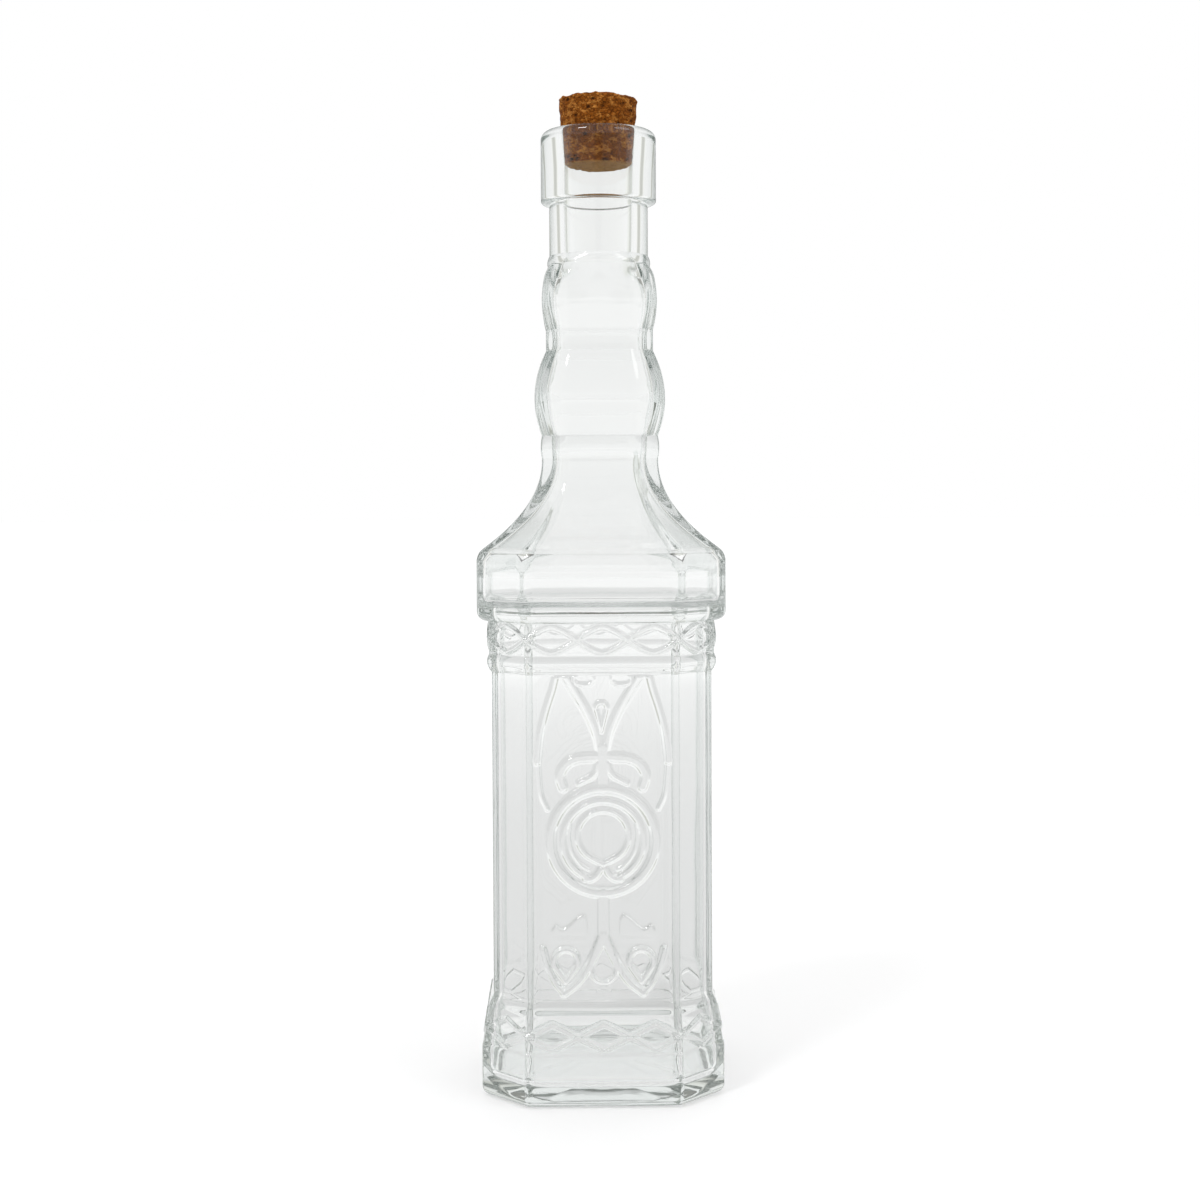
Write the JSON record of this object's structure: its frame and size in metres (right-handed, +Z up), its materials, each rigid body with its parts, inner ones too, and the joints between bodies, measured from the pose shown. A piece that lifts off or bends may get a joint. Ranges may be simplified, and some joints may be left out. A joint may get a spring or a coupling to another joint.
{
  "type": "glass bottle",
  "caption": "Square clear-glass bottle with cut corners, a bulbed neck, moulded ornament on its front and a tapered cork that pulls out of the mouth.",
  "frame": {"origin": "middle of the base, on the surface the bottle stands on", "axes": "+Z up along the bottle's axis; the ornamented face looks along -Y"},
  "size_m": [0.0794, 0.0794, 0.3212],
  "materials": {
    "clear_glass": "polished, colourless with a slight grey-green tint in the thick parts",
    "cork": "natural cork with dark pits, matt"
  },
  "bodies": {
    "bottle": {"glass_bottle": "clear_glass"},
    "cork": {"cork_stopper": "cork"}
  },
  "joints": [
    {"name": "cork_pull", "type": "slide", "parent": "bottle", "child": "cork", "axis": [0, 0, 1], "range_m": [0, 0.05]}
  ]
}
